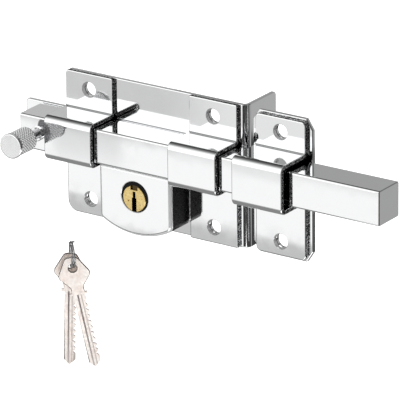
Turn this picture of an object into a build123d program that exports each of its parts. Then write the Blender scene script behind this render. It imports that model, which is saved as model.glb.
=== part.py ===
from build123d import *
import os
from math import asin, cos, pi, radians, sin, sqrt

# A sliding bar lock for the inside of a door, with its keeper and two keys. Millimetres.
# X runs along the bar towards its tip, Y goes into the door and Z is up. The origin is the
# middle of the four door bolts, on the door's face. "Out" is a distance in front of that face.

# Sheet steel
sheet = 3.2
bend_inside = 1.8
edge_round = 0.9

# Bar and the room that it runs in
bar_size = 25.4
bar_length = 299.3
bar_edge_radius = 1.4
bar_end_bevel = 0.6
bar_height = 9.7
bar_overhang = 23.9
bar_rear_gap = 0.8
bar_front_gap = 1.2
bar_side_gap = 0.6

# Door half: base plate and the two straps
strap_pitch = 105.0
strap_width = 40.2
bolt_rows = 82.0
bolt_hole = 11.0
hole_bevel = 0.45
plate_height = 105.8
top_corner = 3.0
bottom_corner = 8.5
inner_corner = 1.2
tongue_length = 37.4
tongue_height = 27.8
tongue_corner = 3.0
flange_step = 6.2
flange_depth = 33.9
flange_corner = 3.0

# Frame half: keeper
keeper_clear = 4.8
keeper_margin = 4.0
keeper_width = 41.3
keeper_front_gap = 4.0
keeper_side_gap = 2.2
keeper_rows = 80.4
keeper_plate_height = 105.0
keeper_ear_height = 101.4
keeper_corner = 3.5
keeper_cut_x = 5.2
keeper_cut_z = 8.0
keeper_cut_round = 1.5

# Lock case under the bar
case_width = 60.4
case_drop = 48.0
case_gap = 0.35
case_depth = 24.1
case_wall = 3.0
bottom_radius = 57.0
case_corner = 5.0
cover_thickness = 3.0
cover_round = 2.4
web_thickness = 2.5
boss_size = 7.0
post_length = 5.3
screw_spread = 45.0
screw_drop = 8.2
screw_rows = 25.6
screw_size = 4.0
screw_head = 7.6
screw_clear = 0.2
screw_tip_gap = 0.5

# Locking bolt
bolt_thickness = 4.6
bolt_slack = 0.4
bolt_rear_gap = 0.7
bolt_width = 22.0
bolt_foot = 4.0
bolt_side_gap = 0.3
bolt_rib = 2.0
head_width = 15.4
head_gap = 0.65
head_entry = 2.0
shoulder_gap = 0.6
groove_depth = 5.0
groove_gap = 0.5
notch_clear = 0.9

# Cylinder
ring_drop = 19.15
ring_size = 22.4
ring_recess = 0.3
ring_gap = 0.15
barrel_size = 25.0
tower_width = 8.0
tower_gap = 0.5
plug_drop = 1.1
plug_size = 19.0
plug_proud = 0.6
plug_bevel = 0.3
run_gap = 0.08
plug_neck = 11.2
clip_room = 1.8
clip_thickness = 0.8
clip_size = 15.0
clip_groove = 0.6
clip_slot = 8.0
housing_wall = 1.4
slot_floor = 0.9
slot_top = 5.3
slot_step = 0.7
slot_narrow = 2.3
slot_wide = 3.9
notch_width = 6.1
notch_depth = 3.2
notch_length = 1.5
dimple_size = 1.4
dimple_depth = 0.8
dimple_side = 4.65
dimple_drop = 2.1
pin_size = 1.8
pin_gap = 0.1
pin_pitch = 2.3
pin_first = 1.3
pin_lengths = (4.6, 5.6, 5.0, 6.0)
shear_gap = 0.05
driver_length = 3.0
spring_wall = 0.3
cap_thickness = 0.8
cap_width = 3.0
cap_overlap = 0.4
housing_screw = 2.5
housing_screw_head = 4.6
housing_screw_spread = 20.8
housing_screw_grip = 2.6

# Crank on the rear of the plug
crank_radius = 4.2
crank_pin = 3.4
crank_slack = 0.1
crank_tip_gap = 0.5
slot_end_room = 1.4
slot_round = 1.0
cam_size = 13.6
cam_thickness = 2.0
cam_gap = 0.3
cam_screw = 2.5
cam_screw_head = 4.4
cam_screw_length = 5.4
thread_clear = 0.05

# Pull knob
knob_size = 18.4
knob_length = 21.0
knob_stand = 11.0
knob_inset = 14.9
knob_bevel = 0.6
knob_rear_bevel = 1.5
knob_rim = 1.3
knob_rim_groove = 0.35
stud_size = 6.6
stud_grip = 12.0
collar_size = 10.6
collar_thickness = 1.8

# Key ring and keys, which hang beside the lock
hang_x = -65.3
hang_out = 13.0
hang_z = -92.2
hang_turn = 34.0
ring_wire = 1.3
ring_radius = 9.1
ring_pitch = 1.75
ring_turns = 2
ring_skew = 10.0
ring_seat = 2.95
key_thickness = 2.2
key_gap = 5.8
key_hole = 6.2
key_tilts = (11.3, -1.5)
key_shifts = (0.4, -1.6)
bow_half = 12.3
bow_top = 8.3
bow_crown = 4.2
bow_widest = 5.6
bow_foot = 15.0
bow_round = 4.0
neck_half = 4.6
key_shoulder = 20.7
shoulder_half = 6.3
shoulder_height = 1.4
blade_low = 4.0
blade_high = 4.4
blade_length = 56.8
blade_point = 4.2
blade_groove = 0.5
groove_widths = (1.2, 0.9)
groove_places = (-0.8, 1.7)
cut_first = 7.0
cut_last = 6.0
cut_land = 0.8
cut_half = 1.7
cut_depths = (0.9, 1.6, 1.2, 2.2, 1.0, 1.9, 1.4, 2.3, 1.3, 1.7)

# Places that follow from the sizes above
left_edge = -strap_pitch / 2 - strap_width / 2
flange_x = strap_pitch / 2 + strap_width / 2 + flange_step
bar_left = left_edge - bar_overhang
bar_tip = bar_left + bar_length
travel = bar_tip - flange_x
bar_rear = sheet + bar_rear_gap
bar_front = bar_rear + bar_size
bar_bottom = bar_height - bar_size / 2
keeper_x = flange_x + keeper_clear + keeper_margin + keeper_width / 2
case_front = sheet + case_depth
cover_rear = case_front - cover_thickness
case_top = bar_bottom - case_gap
case_bottom = case_top - case_drop
case_roof = case_top - case_wall
screw_x = screw_spread / 2
screw_points = [(x, case_top - screw_drop - z) for x in (-screw_x, screw_x) for z in (0, screw_rows)]
lift = 2 * crank_radius
bolt_rear = sheet + bolt_rear_gap
bolt_front = bolt_rear + bolt_thickness
web_rear = bolt_front + bolt_slack
web_front = web_rear + web_thickness
ring_z = case_top - ring_drop
plug_z = ring_z - plug_drop
bore_rear = web_front + clip_room + housing_wall
plug_rear = bore_rear + run_gap
plug_front = case_front + plug_proud
bore_radius = plug_size / 2 + run_gap
chamber = pin_size + 2 * pin_gap
tower_top = case_roof - tower_gap
pin_outs = [cover_rear - pin_first - i * pin_pitch for i in range(len(pin_lengths))]
cam_rear = web_rear + cam_gap
cam_front = cam_rear + cam_thickness
clip_front = web_front + clip_room - run_gap
crank_turn = asin(2 / pi)
crank_play = crank_radius * (cos(crank_turn) + 2 * crank_turn / pi - 1) + crank_slack
crank_z = plug_z - crank_radius
slot_half = crank_pin / 2 + crank_play
bolt_tip = bar_bottom + head_entry
bolt_shoulder = case_roof - lift - shoulder_gap
bolt_low = crank_z - slot_half - bolt_foot
knob_x = bar_left + knob_inset
knob_rear = bar_front + knob_stand
knob_front = knob_rear + knob_length
yaw = radians(hang_turn)
toward = Vector(sin(yaw), -cos(yaw), 0)
sideways = Vector(cos(yaw), sin(yaw), 0)
hang = Vector(hang_x, -hang_out, hang_z)
cut_pitch = (blade_length - blade_point - cut_first - cut_last) / (len(cut_depths) - 1)

os.makedirs("parts", exist_ok=True)


def front(out):
    """Plane parallel to the door, a distance out in front of its face."""
    return Plane.XZ.offset(out)


def finish(piece, name):
    """Label a finished piece and write its file."""
    piece.part.label = name
    export_step(piece.part, f"parts/{name}.step")


def hole_edges(piece, size):
    """Circular edges of a piece that have this diameter."""
    circles = piece.edges().filter_by(GeomType.CIRCLE)
    return circles.filter_by(lambda e: abs(e.radius - size / 2) < size / 1000)


def strap(middle, width, front_gap, side_gap, ear_height, rows, left, right):
    """Sheet bent into a channel over the bar, with a drilled ear above and below it.

    left and right give the ears' top and bottom corner radii on that side.
    """
    inside = bar_front + front_gap
    high = bar_height + bar_size / 2 + side_gap
    low = bar_height - bar_size / 2 - side_gap
    ear = ear_height / 2
    with BuildPart() as channel:
        with BuildSketch(Plane.YZ.offset(middle - width / 2)) as section:
            with BuildLine():
                Polyline(
                    (-sheet, ear),
                    (-sheet, high),
                    (-inside, high),
                    (-inside, low),
                    (-sheet, low),
                    (-sheet, -ear),
                    (-2 * sheet, -ear),
                    (-2 * sheet, low - sheet),
                    (-inside - sheet, low - sheet),
                    (-inside - sheet, high + sheet),
                    (-2 * sheet, high + sheet),
                    (-2 * sheet, ear),
                    close=True,
                )
            make_face()
            for y, rise, radius in (
                (-inside, 0, bend_inside),
                (-2 * sheet, sheet, bend_inside),
                (-sheet, 0, bend_inside + sheet),
                (-inside - sheet, sheet, bend_inside + sheet),
            ):
                for corner in ((y, high + rise), (y, low - rise)):
                    fillet(section.vertices().sort_by_distance(corner)[0], radius)
        extrude(amount=width)
        for side, radii in ((0, left), (-1, right)):
            tips = channel.edges().filter_by(lambda e: abs(e.center().Z) > ear - sheet / 10)
            corners = tips.filter_by(Axis.Y).group_by(Axis.X)[side].sort_by(Axis.Z)
            for corner, radius in zip(corners, reversed(radii)):
                fillet(corner, radius)
        bends = channel.edges().filter_by(Axis.X).filter_by(
            lambda e: abs(e.center().Z) < ear - sheet / 10
        )
        across = channel.edges().filter_by(Axis.Y).filter_by(
            lambda e: abs(e.center().Z) > high + sheet + bend_inside
        )
        fillet(channel.edges() - bends - across, edge_round)
        with BuildSketch(front(sheet)):
            with Locations((middle, 0)):
                with GridLocations(0, rows, 1, 2):
                    Circle(bolt_hole / 2)
        extrude(amount=sheet, mode=Mode.SUBTRACT)
        chamfer(hole_edges(channel, bolt_hole), hole_bevel)
    return channel


# Base plate: the sheet on the door, its tongue behind the bar and the flange on the door's edge
with BuildPart() as base_plate:
    with BuildSketch(Plane.XY.offset(-plate_height / 2)) as section:
        with BuildLine():
            Polyline(
                (left_edge, 0),
                (flange_x - sheet, 0),
                (flange_x - sheet, flange_depth),
                (flange_x, flange_depth),
                (flange_x, -sheet),
                (left_edge, -sheet),
                close=True,
            )
        make_face()
        fillet(section.vertices().sort_by_distance((flange_x - sheet, 0))[0], bend_inside)
        fillet(section.vertices().sort_by_distance((flange_x, -sheet))[0], bend_inside + sheet)
    extrude(amount=plate_height)
    low_left, high_left = base_plate.edges().filter_by(Axis.Y).group_by(Axis.X)[0].sort_by(Axis.Z)
    fillet(low_left, bottom_corner)
    fillet(high_left, top_corner)
    fillet(base_plate.edges().filter_by(Axis.X).group_by(Axis.Y)[-1], flange_corner)
    with BuildSketch(front(0)):
        with Locations((left_edge - tongue_length / 2 + tongue_corner, bar_height)):
            RectangleRounded(tongue_length + 2 * tongue_corner, tongue_height, tongue_corner)
    extrude(amount=sheet)
    bend_start = flange_x - 2 * sheet - bend_inside
    bends = base_plate.edges().filter_by(Axis.Z).filter_by(
        lambda e: e.center().X > bend_start and e.center().Y < flange_depth - sheet
    )
    across_plate = base_plate.edges().filter_by(Axis.Y).filter_by(lambda e: e.center().X < bend_start)
    across_flange = base_plate.edges().filter_by(Axis.X).filter_by(lambda e: e.center().X > bend_start)
    fillet(base_plate.edges() - bends - across_plate - across_flange, edge_round)
    with BuildSketch(front(0)):
        with GridLocations(strap_pitch, bolt_rows, 2, 2):
            Circle(bolt_hole / 2)
    extrude(amount=sheet, mode=Mode.SUBTRACT)
    chamfer(hole_edges(base_plate, bolt_hole), hole_bevel)
    with BuildSketch(front(0)):
        with Locations(*screw_points):
            Circle(screw_size / 2 + screw_clear)
    extrude(amount=sheet, mode=Mode.SUBTRACT)
    with Locations(front(0)):
        with Locations(*screw_points):
            Cone(
                screw_head / 2 + screw_clear,
                screw_size / 2 + screw_clear,
                (screw_head - screw_size) / 2,
                align=(Align.CENTER, Align.CENTER, Align.MIN),
                mode=Mode.SUBTRACT,
            )
finish(base_plate, "base_plate")

# Straps over the bar
left_strap = strap(
    -strap_pitch / 2,
    strap_width,
    bar_front_gap,
    bar_side_gap,
    plate_height,
    bolt_rows,
    left=(top_corner, bottom_corner),
    right=(inner_corner, inner_corner),
)
finish(left_strap, "left_strap")
middle_strap = strap(
    strap_pitch / 2,
    strap_width,
    bar_front_gap,
    bar_side_gap,
    plate_height,
    bolt_rows,
    left=(inner_corner, inner_corner),
    right=(inner_corner, inner_corner),
)
finish(middle_strap, "middle_strap")

# Keeper: its own plate on the frame, and a roomier strap
with BuildPart() as keeper_plate:
    with BuildSketch(front(0)) as outline:
        half_x = keeper_width / 2 + keeper_margin
        half_z = keeper_plate_height / 2
        with Locations((keeper_x, 0)):
            Rectangle(2 * half_x, 2 * half_z)
        for x in (-1, 1):
            for z in (-1, 1):
                with BuildLine():
                    Polyline(
                        (keeper_x + x * half_x, z * half_z),
                        (keeper_x + x * (half_x - keeper_cut_x), z * half_z),
                        (keeper_x + x * half_x, z * (half_z - keeper_cut_z)),
                        close=True,
                    )
                make_face(mode=Mode.SUBTRACT)
        fillet(outline.vertices(), keeper_cut_round)
    extrude(amount=sheet)
    fillet(keeper_plate.faces().filter_by(Axis.Y).edges(), edge_round)
    with BuildSketch(front(0)):
        with Locations((keeper_x, 0)):
            with GridLocations(0, keeper_rows, 1, 2):
                Circle(bolt_hole / 2)
    extrude(amount=sheet, mode=Mode.SUBTRACT)
    chamfer(hole_edges(keeper_plate, bolt_hole), hole_bevel)
finish(keeper_plate, "keeper_plate")
keeper_strap = strap(
    keeper_x,
    keeper_width,
    keeper_front_gap,
    keeper_side_gap,
    keeper_ear_height,
    keeper_rows,
    left=(keeper_corner, keeper_corner),
    right=(keeper_corner, keeper_corner),
)
finish(keeper_strap, "keeper_strap")

# Bar, with a groove for the bolt's tip and a deep notch at each end of its travel
with BuildPart() as bar:
    with BuildSketch(Plane.YZ.offset(bar_left)):
        with Locations((-(bar_rear + bar_size / 2), bar_height)):
            RectangleRounded(bar_size, bar_size, bar_edge_radius)
    extrude(amount=bar_length)
    chamfer(bar.faces().filter_by(Axis.X).edges(), bar_end_bevel)
    head_half = head_width / 2 + head_gap
    groove_deep = bolt_front + groove_gap - bar_rear
    with BuildSketch(front(bar_rear)):
        with Locations((travel / 2, bar_bottom)):
            Rectangle(travel + 2 * head_half, 2 * groove_depth)
        notch_height = head_entry + lift + notch_clear
        for notch_x in (0, travel):
            with Locations((notch_x, bar_bottom)):
                Rectangle(2 * head_half, 2 * notch_height)
    extrude(amount=groove_deep, mode=Mode.SUBTRACT)
    with BuildSketch(front(bar_front)):
        with Locations((knob_x, bar_height)):
            Circle(stud_size / 2 + thread_clear)
    extrude(amount=-stud_grip, mode=Mode.SUBTRACT)
finish(bar, "bar")

# Pull knob, screwed to the bar by a stud that passes through a collar
with BuildPart() as knob:
    with BuildSketch(Plane.XY.offset(bar_height)):
        radius = knob_size / 2
        rim = knob_front - knob_bevel - knob_rim
        with BuildLine():
            Polyline(
                (knob_x, -knob_front),
                (knob_x + radius - knob_bevel, -knob_front),
                (knob_x + radius, -knob_front + knob_bevel),
                (knob_x + radius, -rim),
                (knob_x + radius - knob_rim_groove, -rim + knob_rim_groove),
                (knob_x + radius, -rim + 2 * knob_rim_groove),
                (knob_x + radius, -knob_rear - knob_rear_bevel),
                (knob_x + radius - knob_rear_bevel, -knob_rear),
                (knob_x, -knob_rear),
                close=True,
            )
        make_face()
    revolve(axis=Axis((knob_x, 0, bar_height), (0, 1, 0)))
    with BuildSketch(front(knob_rear)):
        with Locations((knob_x, bar_height)):
            Circle(stud_size / 2 + thread_clear)
    extrude(amount=stud_grip, mode=Mode.SUBTRACT)
finish(knob, "knob")
with BuildPart() as knob_stud:
    with BuildSketch(front(bar_front - stud_grip)):
        with Locations((knob_x, bar_height)):
            Circle(stud_size / 2)
    extrude(amount=2 * stud_grip + knob_stand)
    chamfer(knob_stud.faces().filter_by(Axis.Y).edges(), stud_size / 12)
finish(knob_stud, "knob_stud")
with BuildPart() as knob_collar:
    with BuildSketch(front(bar_front)):
        with Locations((knob_x, bar_height)):
            Circle(collar_size / 2)
            Circle(stud_size / 2 + thread_clear, mode=Mode.SUBTRACT)
    extrude(amount=collar_thickness)
    fillet(hole_edges(knob_collar, collar_size).sort_by(Axis.Y)[0], collar_thickness / 3)
finish(knob_collar, "knob_collar")


def case_outline(out, inset):
    """Outline of the lock case, drawn in by inset, on a plane parallel to the door."""
    half = case_width / 2 - inset
    radius = bottom_radius - inset
    side_low = case_bottom + bottom_radius - sqrt(radius**2 - half**2)
    with BuildSketch(front(out)) as outline:
        with BuildLine():
            Polyline(
                (half, side_low),
                (half, case_top - inset),
                (-half, case_top - inset),
                (-half, side_low),
            )
            ThreePointArc((-half, side_low), (0, case_bottom + inset), (half, side_low))
        make_face()
        fillet(outline.vertices().sort_by(Axis.Y)[:2], case_corner - inset / 2)
    return outline.sketch


# Lock case: a cast body with a web across it, bosses for its screws and ribs for the bolt
with BuildPart() as case_body:
    extrude(case_outline(sheet, 0), amount=cover_rear - sheet)
    extrude(case_outline(sheet, case_wall), amount=cover_rear - sheet, mode=Mode.SUBTRACT)
    extrude(case_outline(web_rear, case_wall / 2), amount=web_thickness)
    with BuildSketch(front(sheet)):
        with Locations(*screw_points):
            Circle(boss_size / 2)
    extrude(amount=cover_rear - post_length - sheet)
    with BuildSketch(front(sheet)):
        rib_x = bolt_width / 2 + bolt_side_gap + bolt_rib / 2
        rib_low = bolt_low - bolt_side_gap - bolt_rib
        for x in (-rib_x, rib_x):
            with Locations((x, (rib_low + bolt_shoulder) / 2)):
                Rectangle(bolt_rib, bolt_shoulder - rib_low)
        with Locations((0, rib_low + bolt_rib / 2)):
            Rectangle(2 * rib_x, bolt_rib)
    extrude(amount=web_rear - sheet)
    with BuildSketch(front(sheet)):
        with Locations(*screw_points):
            Circle(screw_size / 2 + screw_clear)
    extrude(amount=cover_rear, mode=Mode.SUBTRACT)
    with BuildSketch(front(sheet)):
        with Locations((0, case_top)):
            Rectangle(head_width + 2 * head_gap, 3 * case_wall)
    extrude(amount=web_rear - sheet, mode=Mode.SUBTRACT)
    with BuildSketch(front(web_rear)):
        with Locations((0, plug_z)):
            Circle(cam_size / 2 + cam_gap)
        with Locations((0, ring_z)):
            with GridLocations(housing_screw_spread, 0, 2, 1):
                Circle(housing_screw / 2 + screw_clear)
    extrude(amount=web_thickness, mode=Mode.SUBTRACT)
    with Locations(front(web_rear)):
        with Locations((0, ring_z)):
            with GridLocations(housing_screw_spread, 0, 2, 1):
                Cone(
                    housing_screw_head / 2 + screw_clear,
                    housing_screw / 2 + screw_clear,
                    (housing_screw_head - housing_screw) / 2,
                    align=(Align.CENTER, Align.CENTER, Align.MIN),
                    mode=Mode.SUBTRACT,
                )
finish(case_body, "case_body")

# Polished cover on the front of the case, with the posts that its screws bite into
with BuildPart() as case_cover:
    extrude(case_outline(cover_rear, 0), amount=cover_thickness)
    fillet(case_cover.faces().sort_by(Axis.Y)[0].edges(), cover_round)
    with BuildSketch(front(cover_rear)):
        with Locations(*screw_points):
            Circle(boss_size / 2)
    extrude(amount=-post_length)
    with BuildSketch(front(cover_rear - post_length)):
        with Locations(*screw_points):
            Circle(screw_size / 2 + thread_clear)
    extrude(amount=post_length + 2 * screw_tip_gap, mode=Mode.SUBTRACT)
    with BuildSketch(front(cover_rear)):
        with Locations((0, ring_z)):
            Circle(ring_size / 2 + ring_gap)
    extrude(amount=cover_thickness, mode=Mode.SUBTRACT)
    chamfer(hole_edges(case_cover, ring_size + 2 * ring_gap).sort_by(Axis.Y)[0], hole_bevel)
finish(case_cover, "case_cover")


def countersunk(points, out, length, size, head):
    """Screws at points on the plane at out, their flush heads there and their shanks forward."""
    with BuildPart() as screws:
        with Locations(front(out)):
            with Locations(*points):
                Cylinder(size / 2, length, align=(Align.CENTER, Align.CENTER, Align.MIN))
                Cone(
                    head / 2,
                    size / 2,
                    (head - size) / 2,
                    align=(Align.CENTER, Align.CENTER, Align.MIN),
                )
        with BuildSketch(front(out)):
            with Locations(*points):
                SlotOverall(0.8 * head, 0.12 * head)
        extrude(amount=0.12 * head, mode=Mode.SUBTRACT)
    return screws


case_screws = countersunk(screw_points, 0, cover_rear + screw_tip_gap, screw_size, screw_head)
finish(case_screws, "case_screws")

# Cylinder housing: a barrel behind the cover, a sleeve through it and a tower for the pins
with BuildPart() as cylinder_housing:
    with BuildSketch(front(web_front)):
        with Locations((0, ring_z)):
            Circle(barrel_size / 2)
        with Locations((0, (ring_z + tower_top) / 2)):
            Rectangle(tower_width, tower_top - ring_z)
    extrude(amount=cover_rear - web_front)
    with BuildSketch(front(cover_rear)):
        with Locations((0, ring_z)):
            Circle(ring_size / 2)
    extrude(amount=cover_thickness - ring_recess)
    with BuildSketch(front(bore_rear)):
        with Locations((0, plug_z)):
            Circle(bore_radius)
    extrude(amount=case_depth, mode=Mode.SUBTRACT)
    with BuildSketch(front(web_front)):
        with Locations((0, plug_z)):
            Circle(plug_neck / 2 + run_gap)
    extrude(amount=case_depth, mode=Mode.SUBTRACT)
    with BuildSketch(front(web_front)):
        with Locations((0, plug_z)):
            Circle(clip_size / 2 + clip_groove)
    extrude(amount=clip_room, mode=Mode.SUBTRACT)
    with BuildSketch(front(web_front)):
        with Locations((0, ring_z)):
            with GridLocations(housing_screw_spread, 0, 2, 1):
                Circle(housing_screw / 2 + thread_clear)
    extrude(amount=housing_screw_grip, mode=Mode.SUBTRACT)
    with BuildSketch(Plane.XY.offset(plug_z)):
        with Locations(*[(0, -out) for out in pin_outs]):
            Circle(chamber / 2)
    extrude(amount=tower_top - plug_z, mode=Mode.SUBTRACT)
    with BuildSketch(Plane.XY.offset(tower_top)):
        with Locations((0, -(pin_outs[0] + pin_outs[-1]) / 2)):
            Rectangle(cap_width, pin_outs[0] - pin_outs[-1] + pin_size + cap_overlap)
    extrude(amount=-cap_thickness, mode=Mode.SUBTRACT)
finish(cylinder_housing, "cylinder_housing")
housing_points = [(x * housing_screw_spread / 2, ring_z) for x in (-1, 1)]
cylinder_screws = countersunk(
    housing_points,
    web_rear,
    web_thickness + housing_screw_grip - screw_tip_gap,
    housing_screw,
    housing_screw_head,
)
finish(cylinder_screws, "cylinder_screws")

# Pin stacks: springs and driver pins in the tower, under a strip that closes it
driver_low = plug_z + bore_radius + shear_gap
spring_low = driver_low + driver_length
spring_high = tower_top - cap_thickness
with BuildPart() as driver_pins:
    with BuildSketch(Plane.XY.offset(driver_low)):
        with Locations(*[(0, -out) for out in pin_outs]):
            Circle(pin_size / 2)
    extrude(amount=driver_length)
finish(driver_pins, "driver_pins")
with BuildPart() as pin_springs:
    with BuildSketch(Plane.XY.offset(spring_low)):
        with Locations(*[(0, -out) for out in pin_outs]):
            Circle(pin_size / 2)
            Circle(pin_size / 2 - spring_wall, mode=Mode.SUBTRACT)
    extrude(amount=spring_high - spring_low)
finish(pin_springs, "pin_springs")
with BuildPart() as tower_cap:
    with BuildSketch(Plane.XY.offset(spring_high)):
        with Locations((0, -(pin_outs[0] + pin_outs[-1]) / 2)):
            Rectangle(
                cap_width - 2 * thread_clear,
                pin_outs[0] - pin_outs[-1] + pin_size + cap_overlap - 2 * thread_clear,
            )
    extrude(amount=cap_thickness)
finish(tower_cap, "tower_cap")

# Plug: the brass rotor, with its stepped keyway, notch and pin holes
with BuildPart() as plug:
    with BuildSketch(front(plug_rear)):
        with Locations((0, plug_z)):
            Circle(plug_size / 2)
    extrude(amount=plug_front - plug_rear)
    chamfer(plug.faces().sort_by(Axis.Y)[0].edges(), plug_bevel)
    with BuildSketch(front(cam_front)):
        with Locations((0, plug_z)):
            Circle(plug_neck / 2)
    extrude(amount=plug_rear - cam_front)
    with BuildSketch(front(clip_front - clip_thickness - run_gap)):
        with Locations((0, plug_z)):
            Circle(plug_neck / 2)
            Circle(plug_neck / 2 - clip_groove, mode=Mode.SUBTRACT)
    extrude(amount=clip_thickness + 2 * run_gap, mode=Mode.SUBTRACT)
    with BuildSketch(front(plug_rear + slot_floor)):
        with Locations((0, plug_z + slot_top / 2 - plug_size / 4)):
            Rectangle(slot_narrow, slot_top + plug_size / 2)
        with Locations((0, plug_z + slot_step / 2 - plug_size / 4)):
            Rectangle(slot_wide, slot_step + plug_size / 2)
    extrude(amount=plug_front - plug_rear, mode=Mode.SUBTRACT)
    with BuildSketch(front(plug_front)):
        with Locations((0, plug_z + plug_size / 2)):
            Rectangle(notch_width, 2 * notch_depth)
    extrude(amount=-notch_length, mode=Mode.SUBTRACT)
    with BuildSketch(front(plug_front)):
        with Locations((-dimple_side, plug_z - dimple_drop)):
            Circle(dimple_size / 2)
    extrude(amount=-dimple_depth, mode=Mode.SUBTRACT)
    with BuildSketch(Plane.XY.offset(plug_z)):
        with Locations(*[(0, -out) for out in pin_outs]):
            Circle(chamber / 2)
    extrude(amount=plug_size, mode=Mode.SUBTRACT)
    with BuildSketch(front(cam_front)):
        with Locations((0, plug_z)):
            Circle(cam_screw / 2 + thread_clear)
    extrude(amount=cam_screw_length - cam_thickness, mode=Mode.SUBTRACT)
finish(plug, "plug")
with BuildPart() as key_pins:
    for out, length in zip(pin_outs, pin_lengths):
        with BuildSketch(Plane.XY.offset(plug_z + plug_size / 2 - shear_gap - length)):
            with Locations((0, -out)):
                Circle(pin_size / 2)
        extrude(amount=length - shear_gap)
finish(key_pins, "key_pins")
with BuildPart() as retaining_clip:
    with BuildSketch(front(clip_front - clip_thickness)):
        with Locations((0, plug_z)):
            Circle(clip_size / 2)
            Circle(plug_neck / 2 - clip_groove + run_gap, mode=Mode.SUBTRACT)
        with Locations((0, plug_z - clip_size / 2)):
            Rectangle(clip_slot, clip_size, mode=Mode.SUBTRACT)
    extrude(amount=clip_thickness)
finish(retaining_clip, "retaining_clip")

# Cam with its crank pin, screwed to the rear of the plug
with BuildPart() as cam:
    with BuildSketch(front(cam_rear)):
        with Locations((0, plug_z)):
            Circle(cam_size / 2)
            Circle(cam_screw / 2 + thread_clear, mode=Mode.SUBTRACT)
    extrude(amount=cam_thickness)
    with Locations(front(cam_rear)):
        with Locations((0, plug_z)):
            Cone(
                cam_screw_head / 2 + thread_clear,
                cam_screw / 2 + thread_clear,
                (cam_screw_head - cam_screw) / 2,
                align=(Align.CENTER, Align.CENTER, Align.MIN),
                mode=Mode.SUBTRACT,
            )
    with BuildSketch(front(bolt_rear + crank_tip_gap)):
        with Locations((0, crank_z)):
            Circle(crank_pin / 2)
    extrude(amount=cam_rear + cam_thickness / 2 - bolt_rear - crank_tip_gap)
finish(cam, "cam")
cam_screw_piece = countersunk([(0, plug_z)], cam_rear, cam_screw_length, cam_screw, cam_screw_head)
finish(cam_screw_piece, "cam_screw")

# Locking bolt: the crank lifts its head into a notch of the bar
with BuildPart() as locking_bolt:
    with BuildSketch(front(bolt_rear)):
        with Locations((0, (bolt_low + bolt_shoulder) / 2)):
            Rectangle(bolt_width, bolt_shoulder - bolt_low)
        with Locations((0, (bolt_low + bolt_tip) / 2)):
            Rectangle(head_width, bolt_tip - bolt_low)
        with Locations((0, crank_z)):
            RectangleRounded(
                2 * (crank_radius + slot_half + slot_end_room),
                2 * slot_half,
                slot_round,
                mode=Mode.SUBTRACT,
            )
    extrude(amount=bolt_thickness)
    chamfer(locking_bolt.faces().sort_by(Axis.Z)[-1].edges().filter_by(Axis.Y), bar_end_bevel)
finish(locking_bolt, "locking_bolt")

# Split ring: two turns of wire through the holes of both keys, its ends at the top
wire_rise = key_hole / 2 - ring_wire / 2 - ring_seat
ring_middle = hang + Vector(0, 0, wire_rise + ring_radius)
ring_axis = Vector(cos(yaw + radians(ring_skew)), sin(yaw + radians(ring_skew)), 0)
ring_level = ring_axis.cross(Vector(0, 0, 1))


def ring_point(turns):
    """Point of the ring's wire after a number of turns, and the wire's direction there."""
    up = Vector(0, 0, cos(2 * pi * turns))
    out = ring_level * sin(2 * pi * turns)
    climb = ring_axis * ((turns - ring_turns / 2) * ring_pitch)
    ahead = ring_level * cos(2 * pi * turns) - Vector(0, 0, sin(2 * pi * turns))
    slope = ring_axis * (ring_pitch / (2 * pi * ring_radius))
    return ring_middle + (up + out) * ring_radius + climb, (ahead + slope).normalized()


with BuildPart() as key_ring:
    with BuildLine() as turns:
        for quarter in range(4 * ring_turns):
            start, leave = ring_point(quarter / 4)
            end, arrive = ring_point((quarter + 1) / 4)
            chord = end - start
            along = chord.dot(leave + arrive)
            bend = 2 * (1 - leave.dot(arrive))
            reach = (sqrt(along**2 + bend * chord.dot(chord)) - along) / bend
            meet = (start + end + (leave - arrive) * reach) / 2
            first = TangentArc(start, meet, tangent=leave)
            TangentArc(meet, end, tangent=first % 1)
    wire = turns.wire()
    with BuildSketch(Plane(wire @ 0, z_dir=wire % 0)):
        Circle(ring_wire / 2)
    sweep(path=wire)
finish(key_ring, "key_ring")
points = [wire @ (i / (120 * ring_turns)) for i in range(120 * ring_turns + 1)]
gaps = [(a - b).length - ring_wire for i, a in enumerate(points) for b in points[i + 60 :]]
print("least gap between the ring's turns:", round(min(gaps), 3), "mm")


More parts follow.
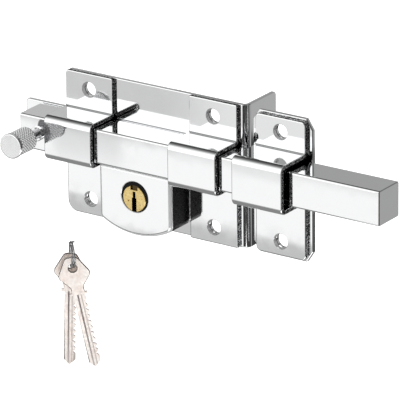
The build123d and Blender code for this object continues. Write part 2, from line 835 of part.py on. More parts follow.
def key(tilt, shift, side):
    """Key on the ring, tilted and shifted in its own plane, side +1 the nearer one, -1 the other."""
    lean = radians(tilt)
    across = sideways * cos(lean) + Vector(0, 0, sin(lean))
    middle = hang + sideways * shift + toward * (side * (key_thickness + key_gap) / 2)
    face = Plane(middle - toward * (key_thickness / 2), across, toward)
    blade_tip = key_shoulder + blade_length
    with BuildPart() as blank:
        with BuildSketch(face) as bow:
            with BuildLine():
                Polyline(
                    (-bow_crown, bow_top),
                    (bow_crown, bow_top),
                    (bow_half, -bow_widest),
                    (neck_half, -bow_foot),
                    (neck_half, -key_shoulder),
                    (-neck_half, -key_shoulder),
                    (-neck_half, -bow_foot),
                    (-bow_half, -bow_widest),
                    close=True,
                )
            make_face()
            round_corners = bow.vertices().filter_by(lambda v: v.Y > -bow_foot - bow_round / 2)
            fillet(round_corners, bow_round)
            Circle(key_hole / 2, mode=Mode.SUBTRACT)
        extrude(amount=key_thickness)
        with BuildSketch(face):
            with BuildLine():
                edge = [(-blade_low, -key_shoulder + shoulder_height / 2)]
                edge += [(blade_high, -key_shoulder + shoulder_height / 2)]
                for i, depth in enumerate(cut_depths):
                    y = -key_shoulder - cut_first - i * cut_pitch
                    edge += [(blade_high, y + cut_half), (blade_high - depth, y + cut_land / 2)]
                    edge += [(blade_high - depth, y - cut_land / 2), (blade_high, y - cut_half)]
                edge += [(blade_high, -blade_tip + blade_point), (0, -blade_tip)]
                edge += [(-blade_low, -blade_tip + blade_point)]
                Polyline(*edge, close=True)
            make_face()
            with Locations((0, -key_shoulder + shoulder_height / 2)):
                Rectangle(2 * shoulder_half, shoulder_height)
        extrude(amount=key_thickness)
        for skin, depth in ((face.offset(key_thickness), -blade_groove), (face, blade_groove)):
            with BuildSketch(skin):
                for place, width in zip(groove_places, groove_widths):
                    with Locations((place, -key_shoulder - blade_length / 2)):
                        Rectangle(width, blade_length)
            extrude(amount=depth, mode=Mode.SUBTRACT)
    return blank


key_front = key(key_tilts[0], key_shifts[0], 1)
finish(key_front, "key_front")
key_back = key(key_tilts[1], key_shifts[1], -1)
finish(key_back, "key_back")
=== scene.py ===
from math import cos, pi, radians, sin

import bpy
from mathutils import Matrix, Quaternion, Vector


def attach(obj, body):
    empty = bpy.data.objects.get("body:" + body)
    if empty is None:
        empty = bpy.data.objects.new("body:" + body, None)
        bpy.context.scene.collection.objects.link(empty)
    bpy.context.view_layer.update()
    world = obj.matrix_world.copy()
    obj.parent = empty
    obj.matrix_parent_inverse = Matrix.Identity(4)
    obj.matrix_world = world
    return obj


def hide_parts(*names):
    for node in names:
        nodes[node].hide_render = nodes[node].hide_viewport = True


# Looks of a door bar lock: chrome on sheet steel, a black case with a brass cylinder, a knurled
# knob and two keys on a ring. Blender's unit is the metre, so lengths are millimetres times MM.
# The bar lies along X, the door is behind the plates towards +Y, and Z is up.
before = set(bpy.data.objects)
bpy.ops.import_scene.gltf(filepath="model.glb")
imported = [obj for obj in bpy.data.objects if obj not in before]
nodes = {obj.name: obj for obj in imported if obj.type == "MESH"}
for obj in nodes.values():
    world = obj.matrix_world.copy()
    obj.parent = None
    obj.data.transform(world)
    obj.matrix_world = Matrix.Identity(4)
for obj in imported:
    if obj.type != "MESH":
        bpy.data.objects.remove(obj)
scene = bpy.context.scene
MM = 0.001
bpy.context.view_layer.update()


# Camera, where the photograph was taken from: to the right of the lock and above it

view_turn = radians(34.27)
view_height = radians(20.42)
view_roll = radians(-0.62)
view_distance = 3367.7 * MM
view_target = Vector((62.5, -37.9, -8.8)) * MM
view_lens = 439.7
view_reach = 20000 * MM

away = Vector(
    (sin(view_turn) * cos(view_height), -cos(view_turn) * cos(view_height), sin(view_height))
)
bpy.ops.object.camera_add(location=view_target + away * view_distance)
camera = bpy.context.object
camera.rotation_mode = "QUATERNION"
camera.rotation_quaternion = away.to_track_quat("Z", "Y") @ Quaternion((0, 0, 1), view_roll)
camera.data.lens = view_lens
camera.data.clip_end = view_reach
scene.camera = camera


# Places on the lock that its finishes and hand-made pieces share

strap_x = 52.5 * MM
keeper_x = 108.25 * MM
bolt_hole_z = 41.0 * MM
keeper_hole_z = 40.2 * MM
hole_reach = 6.3 * MM
ears_from = 32 * MM

plug_z = -23.6 * MM
plug_front = 27.9 * MM

knob_x = -81.6 * MM
knob_z = 9.7 * MM
knurl_rear = 42.0 * MM
knurl_front = 58.9 * MM
knurl_root = 8.45 * MM
knurl_crest = 9.17 * MM
knob_groove = 59.6 * MM

key_turn = radians(34.0)
key_toward = Vector((sin(key_turn), -cos(key_turn), 0))
key_across = Vector((cos(key_turn), sin(key_turn), 0))
key_hole = Vector((-65.3, -13.0, -92.2)) * MM
key_hang = key_hole.dot(key_toward)
key_half = 1.1 * MM
key_apart = 4.0 * MM


# Shaders

noise_span = (0.3, 0.7)


def as_colour(value):
    """Three numbers as an opaque colour and one as a grey. Anything else stays as it is."""
    if isinstance(value, float):
        return (value, value, value, 1)
    if isinstance(value, tuple):
        return (*value, 1)
    return value


class Shader:
    """The nodes of a material, with short ways to add to them."""

    def __init__(self, name):
        self.material = bpy.data.materials.new(name)
        self.material.use_nodes = True
        self.tree = self.material.node_tree
        place = self.add("TexCoord")
        self.place = place.outputs["Object"]
        self.at = self.add("SeparateXYZ", {0: self.place}).outputs
        self.facing = self.add("SeparateXYZ", {0: place.outputs["Normal"]}).outputs

    def add(self, kind, inputs=None, **settings):
        """Add a node, set its properties, and give its inputs values or links."""
        node = self.tree.nodes.new("ShaderNode" + kind)
        for name, value in settings.items():
            setattr(node, name, value)
        for name, value in (inputs or {}).items():
            if isinstance(value, bpy.types.NodeSocket):
                self.tree.links.new(value, node.inputs[name])
            else:
                node.inputs[name].default_value = value
        return node

    def math(self, operation, first, second=0.0):
        return self.add("Math", {0: first, 1: second}, operation=operation).outputs[0]

    def both(self, first, second):
        """The product of two values, so 1 where both masks are 1."""
        return self.math("MULTIPLY", first, second)

    def less(self, mask, amount=1.0):
        """1, less this amount where a mask is 1."""
        return self.math("SUBTRACT", 1.0, self.both(mask, amount))

    def distance(self, first, second):
        """How far a point is from an axis, by its two distances along the other axes."""
        square = self.math("ADD", self.both(first, first), self.both(second, second))
        return self.math("SQRT", square)

    def fade(self, value, low, high, at_low=0.0, at_high=1.0):
        """A value that goes smoothly from at_low to at_high as another goes from low to high."""
        ends = {"From Min": low, "From Max": high, "To Min": at_low, "To Max": at_high}
        node = self.add("MapRange", {"Value": value, **ends}, interpolation_type="SMOOTHSTEP")
        return node.outputs["Result"]

    def fade_out(self, value, low, high):
        return self.fade(value, low, high, 1.0, 0.0)

    def mix(self, share, first, second):
        """Two colours or greys mixed."""
        ends = {6: as_colour(first), 7: as_colour(second)}
        return self.add("Mix", {0: share, **ends}, data_type="RGBA").outputs[2]

    def ramp(self, value, stops):
        """Grey by a value from 0 to 1, from stops of place and grey."""
        node = self.add("ValToRGB", {"Fac": value})
        band = node.color_ramp
        while len(band.elements) < len(stops):
            band.elements.new(1.0)
        for element, (place, tone) in zip(band.elements, stops):
            element.position = place
            element.color = as_colour(tone)
        return node.outputs["Color"]


class Finish(Shader):
    """A material of a surface. Its plain colour and numbers hold where nothing is linked."""

    def __init__(self, name, colour, metallic, roughness):
        super().__init__(name)
        self.surface = self.tree.nodes["Principled BSDF"]
        self.surface.inputs["Base Color"].default_value = as_colour(colour)
        self.surface.inputs["Metallic"].default_value = metallic
        self.surface.inputs["Roughness"].default_value = roughness

    def set(self, name, socket):
        self.tree.links.new(socket, self.surface.inputs[name])

    def noise(self, size, detail=2.0, stretch=(1, 1, 1)):
        """Noise whose cells are about this size in metres, drawn out along an axis."""
        scale = tuple(1 / (size * share) for share in stretch)
        mapping = self.add("Mapping", {"Vector": self.place, "Scale": scale})
        inputs = {"Vector": mapping.outputs[0], "Scale": 1.0, "Detail": detail}
        return self.add("TexNoise", inputs).outputs[0]

    def roughen(self, size, detail, least, most):
        """Roughness from least to most, in patches of this size."""
        self.set("Roughness", self.fade(self.noise(size, detail), *noise_span, least, most))

    def relief(self, height, depth, under=None):
        """Bump this deep in metres, on top of another relief."""
        inputs = {"Height": height, "Distance": depth}
        if under is not None:
            inputs["Normal"] = under
        return self.add("Bump", inputs).outputs["Normal"]

    def grain(self, size, detail, depth, under=None, stretch=(1, 1, 1)):
        """Relief of noise."""
        return self.relief(self.noise(size, detail, stretch), depth, under)

    def turned_to(self, axis, least):
        """1 where the surface faces either way along an axis, with this least cosine."""
        along = self.math("ABSOLUTE", self.facing[axis])
        return self.math("GREATER_THAN", along, least)


class Glow(Shader):
    """A material that only shines, for a piece of the studio."""

    def __init__(self, piece):
        super().__init__(piece.name + "_light")
        self.tree.nodes.remove(self.tree.nodes["Principled BSDF"])
        self.light = self.add("Emission")
        output = self.tree.nodes["Material Output"]
        self.tree.links.new(self.light.outputs[0], output.inputs["Surface"])
        piece.data.materials.append(self.material)

    def shine(self, tone):
        self.tree.links.new(tone, self.light.inputs["Color"])


def coat(finish, *names):
    """Give CAD nodes a finish."""
    for name in names:
        mesh = nodes[name].data
        mesh.materials.clear()
        mesh.materials.append(finish.material)


# Chrome: a mirror with the slight waves of rolled sheet, hazy where it was handled

chrome_tone = (0.93, 0.935, 0.94)
haze_span = (0.35, 0.75)
haze_roughness = (0.035, 0.09)


def plain_chrome(name):
    return Finish(name, chrome_tone, metallic=1.0, roughness=0.05)


def haze(finish):
    return finish.fade(finish.noise(9 * MM, detail=4), *haze_span, *haze_roughness)


def sheet_waves(finish):
    return finish.grain(16 * MM, detail=1, depth=0.03 * MM)


def polished_chrome(name):
    finish = plain_chrome(name)
    finish.set("Roughness", haze(finish))
    waves = sheet_waves(finish)
    finish.set("Normal", finish.grain(0.7 * MM, detail=2, depth=0.0012 * MM, under=waves))
    return finish


# Cover: the same, but its rounded rim is satin

cover_face_cosine = 0.97
rim_satin = 0.55


def cover_chrome(name):
    finish = polished_chrome(name)
    rim = finish.less(finish.turned_to("Y", cover_face_cosine))
    finish.set("Metallic", finish.less(rim, rim_satin))
    return finish


# Straps: the same, but their sheared edges are rough and dark, and their punched holes dull

strap_face_cosine = 0.75
shear_size = 0.9 * MM
shear_stretch = (1, 2, 1)
shear_span = (0.46, 0.62)
shear_dark = (0.03, 0.03, 0.033)
shear_light = (0.7, 0.7, 0.71)
shear_roughness = 0.32
shear_depth = 0.25 * MM
hole_tone = (0.6, 0.6, 0.61)
hole_satin = 0.6


def sheared_chrome(name, hole_x, hole_z):
    """For a strap with a hole this far above the middle of the bar and one this far below."""
    finish = plain_chrome(name)
    from_middle = finish.math("ABSOLUTE", finish.at["Z"])
    on_ear = finish.math("GREATER_THAN", from_middle, ears_from)
    off_face = finish.less(finish.turned_to("Y", strap_face_cosine))
    side = finish.turned_to("X", strap_face_cosine)
    cut = finish.math("MAXIMUM", side, finish.both(off_face, on_ear))
    across = finish.math("SUBTRACT", finish.at["X"], hole_x)
    up = finish.math("SUBTRACT", from_middle, hole_z)
    off_hole = finish.math("GREATER_THAN", finish.distance(across, up), hole_reach)
    sheared = finish.both(cut, off_hole)
    punched = finish.math("SUBTRACT", cut, sheared)

    shear = finish.noise(shear_size, detail=5, stretch=shear_stretch)
    torn = finish.mix(finish.fade(shear, *shear_span), shear_dark, shear_light)
    smooth = finish.mix(punched, chrome_tone, hole_tone)
    finish.set("Base Color", finish.mix(sheared, smooth, torn))
    finish.set("Metallic", finish.less(punched, hole_satin))
    rough = finish.both(sheared, shear_roughness)
    finish.set("Roughness", finish.math("MAXIMUM", haze(finish), rough))
    waves = sheet_waves(finish)
    finish.set("Normal", finish.relief(finish.both(shear, sheared), shear_depth, waves))
    return finish


# Knob: chrome over a satin surface, with painted shade in the roots of its knurl

knob_dull = (0.9, 0.905, 0.91)
knob_bright = (0.98, 0.98, 0.985)
knurl_satin = 0.72
root_shade_tone = (0.05, 0.05, 0.055)
root_shade_share = 0.75
root_shade_height = 0.3 * MM


def knurled_chrome(name):
    finish = Finish(name, chrome_tone, metallic=1.0, roughness=0.2)
    across = finish.math("SUBTRACT", finish.at["X"], knob_x)
    up = finish.math("SUBTRACT", finish.at["Z"], knob_z)
    out = finish.math("MULTIPLY", finish.at["Y"], -1.0)
    # Painted shade: the knob is darkened in the roots of its knurl, where shade falls
    root = finish.fade_out(finish.distance(across, up), knurl_root, knurl_root + root_shade_height)
    knurled = finish.math("GREATER_THAN", knob_groove, out)
    root_shade = finish.both(finish.both(root, knurled), root_shade_share)
    unshaded = finish.mix(finish.noise(3 * MM, detail=4), knob_dull, knob_bright)
    finish.set("Base Color", finish.mix(root_shade, unshaded, root_shade_tone))
    finish.set("Metallic", finish.less(knurled, knurl_satin))
    finish.roughen(2 * MM, detail=4, least=0.14, most=0.26)
    finish.set("Normal", finish.grain(0.5 * MM, detail=3, depth=0.02 * MM))
    return finish


# Brass: turned, so fine rings run round the plug's axis, with darker spots where it tarnished,
# and painted black shade below its face

brass_plain = (0.95, 0.72, 0.3)
brass_pale = (1.0, 0.83, 0.42)
brass_deep = (0.8, 0.54, 0.17)
tarnish_tone = (0.2, 0.12, 0.04)
tarnish_span = (0.6, 0.68)
tarnish_share = 0.6
sunk_shade_tone = (0.03, 0.02, 0.01)
shade_from_depth = 1.0 * MM
shade_full_depth = 1.6 * MM
turning_pitch = 0.35 * MM
turning_depth = 0.004 * MM


def turned_brass(name):
    finish = Finish(name, brass_plain, metallic=1.0, roughness=0.22)
    up = finish.math("SUBTRACT", finish.at["Z"], plug_z)
    from_axis = finish.distance(finish.at["X"], up)
    warm = finish.mix(finish.noise(3.5 * MM, detail=3), brass_pale, brass_deep)
    spots = finish.fade(finish.noise(0.8 * MM, detail=4), *tarnish_span)
    spotted = finish.mix(finish.both(spots, tarnish_share), warm, tarnish_tone)
    # Painted shade: the brass is painted black from 1 to 1.6 mm behind the plug's face inwards,
    # where shade falls
    sunk_shade = finish.fade(finish.at["Y"], shade_from_depth - plug_front, shade_full_depth - plug_front)
    finish.set("Base Color", finish.mix(sunk_shade, spotted, sunk_shade_tone))
    finish.roughen(1.5 * MM, detail=3, least=0.16, most=0.32)
    rings = finish.math("SINE", finish.both(from_axis, 2 * pi / turning_pitch))
    ridges = finish.relief(rings, turning_depth)
    finish.set("Normal", finish.grain(1.2 * MM, detail=3, depth=0.05 * MM, under=ridges))
    return finish


# Casting: black paint with the orange peel of a coat on rough metal, worn to metal at its foot

paint_plain = (0.012, 0.012, 0.013)
paint_dark = (0.002, 0.002, 0.002)
paint_light = (0.011, 0.011, 0.012)
paint_specular = 0.1
worn_tone = (0.62, 0.62, 0.63)
worn_span = (0.3, 0.5)
worn_foot_span = (3.9 * MM, 4.4 * MM)


def black_casting(name):
    finish = Finish(name, paint_plain, metallic=0.0, roughness=0.3)
    finish.surface.inputs["Specular IOR Level"].default_value = paint_specular
    foot = finish.fade_out(finish.math("MULTIPLY", finish.at["Y"], -1.0), *worn_foot_span)
    worn = finish.both(foot, finish.fade(finish.noise(2 * MM, detail=4), *worn_span))
    paint = finish.mix(finish.noise(5 * MM, detail=4), paint_dark, paint_light)
    finish.set("Base Color", finish.mix(worn, paint, worn_tone))
    finish.set("Metallic", worn)
    finish.roughen(2.5 * MM, detail=4, least=0.22, most=0.42)
    peel = finish.grain(1.1 * MM, detail=3, depth=0.08 * MM)
    finish.set("Normal", finish.grain(0.25 * MM, detail=2, depth=0.01 * MM, under=peel))
    return finish


# Zinc: dull steel with a mottled plating, rougher where it is lighter

zinc_plain = (0.6, 0.6, 0.62)
zinc_dark = (0.36, 0.36, 0.38)
zinc_light = (0.82, 0.82, 0.84)


def zinc_plated(name):
    finish = Finish(name, zinc_plain, metallic=1.0, roughness=0.3)
    finish.set("Base Color", finish.mix(finish.noise(2 * MM, detail=5), zinc_dark, zinc_light))
    finish.roughen(2 * MM, detail=5, least=0.22, most=0.4)
    finish.set("Normal", finish.grain(0.4 * MM, detail=4, depth=0.02 * MM))
    return finish


# Keys: nickel on brass, pinkish where it is thin, brushed along the blade. In the grooves and on
# the sides, which lie nearer to a key's middle plane than its faces do, it gets painted shade.

nickel_thin = (0.9, 0.8, 0.74)
nickel_full = (0.97, 0.92, 0.88)
nickel_groove_shade = (0.66, 0.6, 0.57)
# Painted shade: the keys' chamfered rims are near-black, to outline the keys dark
rim_shade_dark = (0.06, 0.055, 0.05)
rim_shade_light = (0.2, 0.18, 0.17)
shade_below = 0.4 * MM
face_above = 0.15 * MM
brush_stretch = (1, 1, 14)


def key_nickel(name, thin_tone, full_tone, middle=None):
    """With a middle plane, this far from the origin towards the front, sunk parts get painted
    shade.
    """
    finish = Finish(name, full_tone, metallic=0.6, roughness=0.38)
    thin = finish.fade(finish.noise(7 * MM, detail=3), *noise_span)
    tone = finish.mix(thin, thin_tone, full_tone)
    if middle is not None:
        right = finish.both(finish.at["X"], key_toward.x)
        out = finish.math("ADD", right, finish.both(finish.at["Y"], key_toward.y))
        depth = finish.math("ABSOLUTE", finish.math("SUBTRACT", out, middle))
        # Painted shade: the grooves and sides of a key are darkened
        sunk_shade = finish.fade_out(depth, key_half - shade_below, key_half - face_above)
        tone = finish.mix(sunk_shade, tone, nickel_groove_shade)
    finish.set("Base Color", tone)
    finish.roughen(1.5 * MM, detail=4, least=0.3, most=0.46)
    brush = finish.grain(0.3 * MM, detail=3, depth=0.012 * MM, stretch=brush_stretch)
    finish.set("Normal", brush)
    return finish


# Ring: spring wire, plated and worn in places

wire_plain = (0.72, 0.72, 0.73)
wire_dark = (0.32, 0.32, 0.33)
wire_light = (0.8, 0.8, 0.81)
wire_span = (0.35, 0.65)


def plated_wire(name):
    finish = Finish(name, wire_plain, metallic=1.0, roughness=0.16)
    worn = finish.fade(finish.noise(1.5 * MM, detail=4), *wire_span)
    finish.set("Base Color", finish.mix(worn, wire_dark, wire_light))
    finish.roughen(0.8 * MM, detail=3, least=0.1, most=0.25)
    finish.set("Normal", finish.grain(0.3 * MM, detail=3, depth=0.015 * MM))
    return finish


chrome = polished_chrome("chrome")
rim_chrome = cover_chrome("cover_chrome")
left_chrome = sheared_chrome("left_strap_chrome", -strap_x, bolt_hole_z)
middle_chrome = sheared_chrome("middle_strap_chrome", strap_x, bolt_hole_z)
keeper_chrome = sheared_chrome("keeper_strap_chrome", keeper_x, keeper_hole_z)
knob_chrome = knurled_chrome("knob_chrome")
brass = turned_brass("brass")
black = black_casting("black_casting")
steel = zinc_plated("zinc_steel")
front_nickel = key_nickel("front_key_nickel", nickel_thin, nickel_full, key_hang + key_apart)
back_nickel = key_nickel("back_key_nickel", nickel_thin, nickel_full, key_hang - key_apart)
key_rim_shade = key_nickel("key_rim_shade", rim_shade_dark, rim_shade_light)
wire = plated_wire("ring_wire")

coat(left_chrome, "left_strap")
coat(middle_chrome, "middle_strap")
coat(keeper_chrome, "keeper_strap")
coat(chrome, "base_plate", "keeper_plate", "bar", "knob_collar")
coat(rim_chrome, "case_cover")
coat(knob_chrome, "knob")
coat(brass, "plug", "key_pins", "driver_pins", "tower_cap")
coat(black, "case_body", "cylinder_housing")
coat(steel, "case_screws", "cylinder_screws", "pin_springs", "knob_stud", "retaining_clip")
coat(steel, "cam", "cam_screw", "locking_bolt")
coat(front_nickel, "key_front")
coat(back_nickel, "key_back")
coat(wire, "key_ring")


# Modelling by hand


def deselect_all():
    bpy.ops.object.select_all(action="DESELECT")


def start_piece(name):
    """Name the primitive that was just added."""
    piece = bpy.context.object
    piece.name = name
    piece.data.name = name
    return piece


def settle(piece):
    """Put the piece's place and turn into its mesh."""
    deselect_all()
    piece.select_set(True)
    bpy.context.view_layer.objects.active = piece
    bpy.ops.object.transform_apply(location=True, rotation=True, scale=True)


def pick_points(piece, wanted):
    """In edit mode, select the vertices whose place passes a test."""
    bpy.ops.mesh.select_mode(type="VERT")
    bpy.ops.mesh.select_all(action="DESELECT")
    bpy.ops.object.mode_set(mode="OBJECT")
    for point in piece.data.vertices:
        point.select = wanted(point.co)
    bpy.ops.object.mode_set(mode="EDIT")


# Knob: turned on a lathe, with a diamond knurl between its rear bevel and a groove at its rim.
# Its profiles are pairs of distance from the door and radius.

knob_bore = 3.4 * MM
knob_bore_end = 53.2 * MM
knob_rear = 40.4 * MM
knob_radius = 9.2 * MM
groove_root = 7.85 * MM
rear_profile = [(knob_rear, knob_bore), (knob_rear, 7.15 * MM), (41.65 * MM, knurl_root)]
groove_profile = [(59.0 * MM, groove_root), (knob_groove, groove_root)]
face_profile = [
    (59.7 * MM, 9.08 * MM),
    (59.85 * MM, knob_radius),
    (60.65 * MM, knob_radius),
    (61.05 * MM, 9.08 * MM),
    (61.3 * MM, 8.8 * MM),
    (61.4 * MM, 8.35 * MM),
]
knurl_columns = 48
knurl_rows = 14
knurl_step = (knurl_front - knurl_rear) / knurl_rows
row_tolerance = 0.01
knob_smooth = radians(10)


def on_crest(point):
    """Whether a vertex of the knurl is one that stands out: every other one, rows staggered."""
    row = (-point.y - knurl_rear) / knurl_step
    if abs(row - round(row)) > row_tolerance or not 0 < round(row) < knurl_rows:
        return False
    spoke = Vector((point.x - knob_x, point.z - knob_z))
    column = spoke.angle_signed(Vector((1, 0))) / (2 * pi) * knurl_columns
    return (round(column) + round(row)) % 2 == 0


def turn_knob():
    deselect_all()
    bpy.ops.mesh.primitive_circle_add(
        vertices=knurl_columns,
        radius=knob_bore,
        location=(knob_x, -knob_bore_end, knob_z),
        rotation=(pi / 2, 0, 0),
        fill_type="NGON",
    )
    knob = start_piece("knurled_knob")
    settle(knob)
    bpy.ops.object.mode_set(mode="EDIT")
    bpy.ops.mesh.select_all(action="SELECT")
    knurl_profile = [(knurl_rear + row * knurl_step, knurl_root) for row in range(knurl_rows + 1)]
    out, radius = knob_bore_end, knob_bore
    for next_out, next_radius in rear_profile + knurl_profile + groove_profile + face_profile:
        step = {"value": (0, out - next_out, 0)}
        bpy.ops.mesh.extrude_region_move(TRANSFORM_OT_translate=step)
        share = next_radius / radius
        middle = (knob_x, -next_out, knob_z)
        bpy.ops.transform.resize(value=(share, 1, share), center_override=middle)
        out, radius = next_out, next_radius

    pick_points(knob, on_crest)
    rise = knurl_crest / knurl_root
    bpy.ops.transform.resize(value=(rise, 1, rise), center_override=(knob_x, 0, knob_z))
    rear, front = knurl_rear - knurl_step / 2, knurl_front + knurl_step / 2
    pick_points(knob, lambda point: rear < -point.y < front)
    bpy.ops.mesh.quads_convert_to_tris(quad_method="SHORTEST_DIAGONAL")
    bpy.ops.mesh.select_all(action="SELECT")
    bpy.ops.mesh.normals_make_consistent(inside=False)
    bpy.ops.object.mode_set(mode="OBJECT")
    bpy.ops.object.shade_smooth_by_angle(angle=knob_smooth)
    knob.data.materials.append(knob_chrome.material)
    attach(knob, "bar")
    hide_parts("knob")


turn_knob()


# Keys: the CAD blanks with their edges chamfered, the chamfers painted darker than the faces as
# painted shade along their outlines. Heights are along the key, from the middle of its hole.

bow_low = -19 * MM
bow_chamfer = 0.45 * MM
blade_from = -23 * MM
blade_back = -3.5 * MM
blade_chamfer = 0.65 * MM
merge_distance = 0.001 * MM
flat_angle = radians(1)
sharp_angle = radians(50)
key_smooth = radians(20)


def chamfer_edges(piece, size, wanted):
    """In edit mode, chamfer the sharp edges whose middle passes a test, in the second slot."""
    bpy.ops.mesh.select_mode(type="EDGE")
    bpy.ops.mesh.select_all(action="DESELECT")
    bpy.ops.mesh.edges_select_sharp(sharpness=sharp_angle)
    bpy.ops.object.mode_set(mode="OBJECT")
    mesh = piece.data
    picked = []
    for edge in mesh.edges:
        first, second = (mesh.vertices[i] for i in edge.vertices)
        if edge.select and wanted((first.co + second.co) / 2):
            picked.append(edge)
    # A vertex or face that stays selected would bring its other edges back in edit mode
    for element in (*mesh.vertices, *mesh.edges, *mesh.polygons):
        element.select = False
    for edge in picked:
        edge.select = True
    bpy.ops.object.mode_set(mode="EDIT")
    bpy.ops.mesh.bevel(offset=size, segments=1, material=1, clamp_overlap=False)


def round_key(name, tilt, shift):
    """Chamfer a key that hangs tilted, with its hole shifted along the ring's hole."""
    deselect_all()
    nodes[name].select_set(True)
    bpy.context.view_layer.objects.active = nodes[name]
    bpy.ops.object.duplicate()
    key = start_piece(name + "_rounded")
    # The second slot holds the chamfers' painted shade
    key.data.materials.append(key_rim_shade.material)
    bpy.ops.object.mode_set(mode="EDIT")
    bpy.ops.mesh.select_all(action="SELECT")
    bpy.ops.mesh.remove_doubles(threshold=merge_distance)
    bpy.ops.mesh.dissolve_limited(angle_limit=flat_angle)
    up = Vector((0, 0, cos(tilt))) - key_across * sin(tilt)
    across = key_across * cos(tilt) + Vector((0, 0, sin(tilt)))
    hole = key_hole + key_across * shift

    def on_bow(middle):
        return (middle - hole).dot(up) > bow_low

    def on_back(middle):
        return (middle - hole).dot(up) < blade_from and (middle - hole).dot(across) < blade_back

    chamfer_edges(key, bow_chamfer, on_bow)
    chamfer_edges(key, blade_chamfer, on_back)
    bpy.ops.object.mode_set(mode="OBJECT")
    bpy.ops.object.shade_smooth_by_angle(angle=key_smooth)
    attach(key, name)
    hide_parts(name)


round_key("key_front", tilt=radians(11.3), shift=0.4 * MM)
round_key("key_back", tilt=radians(-1.5), shift=-1.6 * MM)


# Studio: a plain pale floor in a white world, and round the lock what its mirrors show, which is
# seen in nothing else. A span is a pair of places between which a tone fades.

front_y = -350 * MM
back_y = 300 * MM
cards_low = -248 * MM
floor_height = -250 * MM
floor_size = 12000 * MM


def only_in_mirrors(piece):
    """Make a piece seen in mirrors alone, which casts no light or shadow."""
    piece.visible_camera = False
    piece.visible_diffuse = False
    piece.visible_shadow = False


def stand_panel(name, y, left, right, low, high):
    """An upright panel parallel to the door."""
    deselect_all()
    bpy.ops.mesh.primitive_plane_add(size=1, rotation=(pi / 2, 0, 0))
    panel = start_piece(name)
    panel.location = ((left + right) / 2, y, (low + high) / 2)
    panel.scale = (right - left, high - low, 1)
    settle(panel)
    only_in_mirrors(panel)
    return Glow(panel)


def lay_floor(name, height):
    """A level panel of the floor's size."""
    deselect_all()
    bpy.ops.mesh.primitive_plane_add(size=floor_size, location=(0, 0, height))
    piece = start_piece(name)
    settle(piece)
    return piece


# White card, at the left in front: dimmer at its left, brightest at its top, a pale band above
# its foot, and a darker veil in the band where the low part of the left strap shows it
card_right = 15 * MM
left_span = (-240 * MM, -150 * MM)
left_tones = (0.62, 0.82)
top_span = (-95 * MM, -40 * MM)
top_tone = 1.25
band_span = (-126 * MM, -116 * MM)
band_tone = 1.0
card_foot_span = (-201 * MM, -193 * MM)
card_foot_tone = 0.56
veil_left_span = (-302 * MM, -288 * MM)
veil_right_span = (-243 * MM, -228 * MM)
veil_low_span = (-158 * MM, -124 * MM)
veil_share = 0.22

card = stand_panel(
    "white_card", front_y, left=-900 * MM, right=card_right, low=cards_low, high=300 * MM
)
over_band = card.fade(card.at["Z"], *band_span)
tone = card.fade(card.at["X"], *left_span, *left_tones)
tone = card.mix(card.fade(card.at["Z"], *top_span), tone, top_tone)
tone = card.mix(over_band, band_tone, tone)
tone = card.mix(card.fade_out(card.at["Z"], *card_foot_span), tone, card_foot_tone)
veil = card.fade(card.at["X"], *veil_left_span)
veil = card.both(veil, card.fade_out(card.at["X"], *veil_right_span))
veil = card.both(veil, card.fade(card.at["Z"], *veil_low_span))
veil = card.both(veil, card.less(over_band))
card.shine(card.mix(card.both(veil, veil_share), tone, 0.0))

# Black flag, at the right in front, with streaks of light by share of its width
flag_right = 450 * MM
streaks = [
    (0.0, 0.3),
    (0.06, 0.02),
    (0.3, 0.02),
    (0.36, 0.2),
    (0.4, 0.02),
    (0.7, 0.01),
    (0.8, 0.3),
    (0.9, 0.02),
]
flag = stand_panel(
    "black_flag", front_y, left=card_right, right=flag_right, low=-215 * MM, high=150 * MM
)
flag.shine(flag.ramp(flag.fade(flag.at["X"], card_right, flag_right), streaks))

# Grey card, at the right behind: darker along its foot, but for its far end
grey_span = (230 * MM, 420 * MM)
grey_tones = (0.42, 0.37)
grey_foot_span = (-104 * MM, -90 * MM)
grey_foot_share = 0.12
grey_end_span = (330 * MM, 390 * MM)
grey = stand_panel(
    "grey_card", back_y, left=130 * MM, right=900 * MM, low=cards_low, high=120 * MM
)
foot = grey.fade(grey.at["Z"], *grey_foot_span, grey_foot_share)
foot = grey.math("MAXIMUM", foot, grey.fade(grey.at["X"], *grey_end_span))
grey.shine(grey.both(grey.fade(grey.at["X"], *grey_span, *grey_tones), foot))

# Pale card, at the left behind and above
pale_low = 60 * MM
pale_span = (pale_low, 260 * MM)
pale_tones = (0.47, 0.56)
pale = stand_panel(
    "pale_card", back_y, left=-600 * MM, right=-190 * MM, low=pale_low, high=400 * MM
)
pale.shine(pale.fade(pale.at["Z"], *pale_span, *pale_tones))

# Floor: plain and pale, white to the camera, to mirrors and through glass
floor_tone = (0.86, 0.86, 0.86)
floor_lift = 0.72
floor = lay_floor("floor", floor_height)
ground = Finish("pale_floor", floor_tone, metallic=0.0, roughness=0.8)
ray = ground.add("LightPath").outputs
seen = ground.math("MAXIMUM", ray["Is Camera Ray"], ray["Is Glossy Ray"])
seen = ground.math("MAXIMUM", seen, ray["Is Transmission Ray"])
ground.surface.inputs["Emission Color"].default_value = as_colour(1.0)
ground.set("Emission Strength", ground.both(seen, floor_lift))
floor.data.materials.append(ground.material)

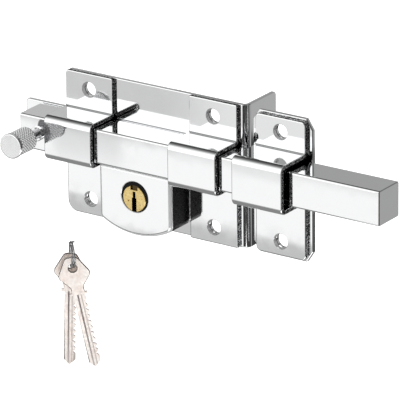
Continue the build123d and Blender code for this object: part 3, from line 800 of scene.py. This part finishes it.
# Cloth: dark, just above the floor, darker far out at both sides, but lit in front of the lock's
# right half, where the keys reflect it
cloth_height = floor_height + 1 * MM
cloth_tone = 0.25
cloth_far_tone = 0.05
cloth_far_span = (400 * MM, 470 * MM)
pool_tone = 1.95
pool_left_span = (-20 * MM, 50 * MM)
pool_back_span = (-180 * MM, -110 * MM)
dark_cloth = lay_floor("dark_cloth", cloth_height)
only_in_mirrors(dark_cloth)
cloth = Glow(dark_cloth)
far = cloth.fade(cloth.math("ABSOLUTE", cloth.at["X"]), *cloth_far_span)
pool = cloth.both(
    cloth.fade(cloth.at["X"], *pool_left_span), cloth.fade_out(cloth.at["Y"], *pool_back_span)
)
pool = cloth.both(pool, cloth.less(far))
cloth.shine(cloth.mix(pool, cloth.mix(far, cloth_tone, cloth_far_tone), pool_tone))

# Tent: grey behind, light in front, dark overhead at both sides. Its mesh is a sphere of radius
# 1, so that places on it are directions.
tent_radius = 15000 * MM
roof_z_span = (0.38, 0.56)
roof_x_span = (0.15, 0.4)
roof_y_span = (-0.6, -0.2)
roof_tone_span = (-0.4, 0.3)
roof_tones = (0.3, 0.06)
# Pairs of direction, in degrees to the right from straight in front of the lock, and tone
compass = (
    (-180, 0.36),
    (-138, 0.36),
    (-128, 0.05),
    (-85, 0.05),
    (-72, 0.95),
    (-15, 0.95),
    (-5, 0.5),
    (10, 0.12),
    (72, 0.08),
    (80, 0.5),
    (86, 0.5),
    (94, 0.06),
    (132, 0.03),
    (142, 0.36),
    (180, 0.36),
)
deselect_all()
bpy.ops.mesh.primitive_uv_sphere_add(segments=64, ring_count=32, radius=1)
tent = start_piece("tent")
tent.scale = (tent_radius, tent_radius, tent_radius)
only_in_mirrors(tent)
sky = Glow(tent)
turn = sky.math("ARCTAN2", sky.at["X"], sky.math("MULTIPLY", sky.at["Y"], -1.0))
around = sky.math("ADD", sky.math("DIVIDE", turn, 2 * pi), 0.5)
walls = sky.ramp(around, [((angle + 180) / 360, tone) for angle, tone in compass])
roof = sky.fade(sky.at["Z"], *roof_z_span)
roof = sky.both(roof, sky.fade(sky.math("ABSOLUTE", sky.at["X"]), *roof_x_span))
roof = sky.both(roof, sky.fade(sky.at["Y"], *roof_y_span))
sky.shine(sky.mix(roof, walls, sky.fade(sky.at["Y"], *roof_tone_span, *roof_tones)))

# World: plain white
world = bpy.data.worlds.new("studio")
scene.world = world
world.use_nodes = True
world.node_tree.nodes["Background"].inputs["Color"].default_value = as_colour(1.0)

scene.view_settings.view_transform = "Standard"
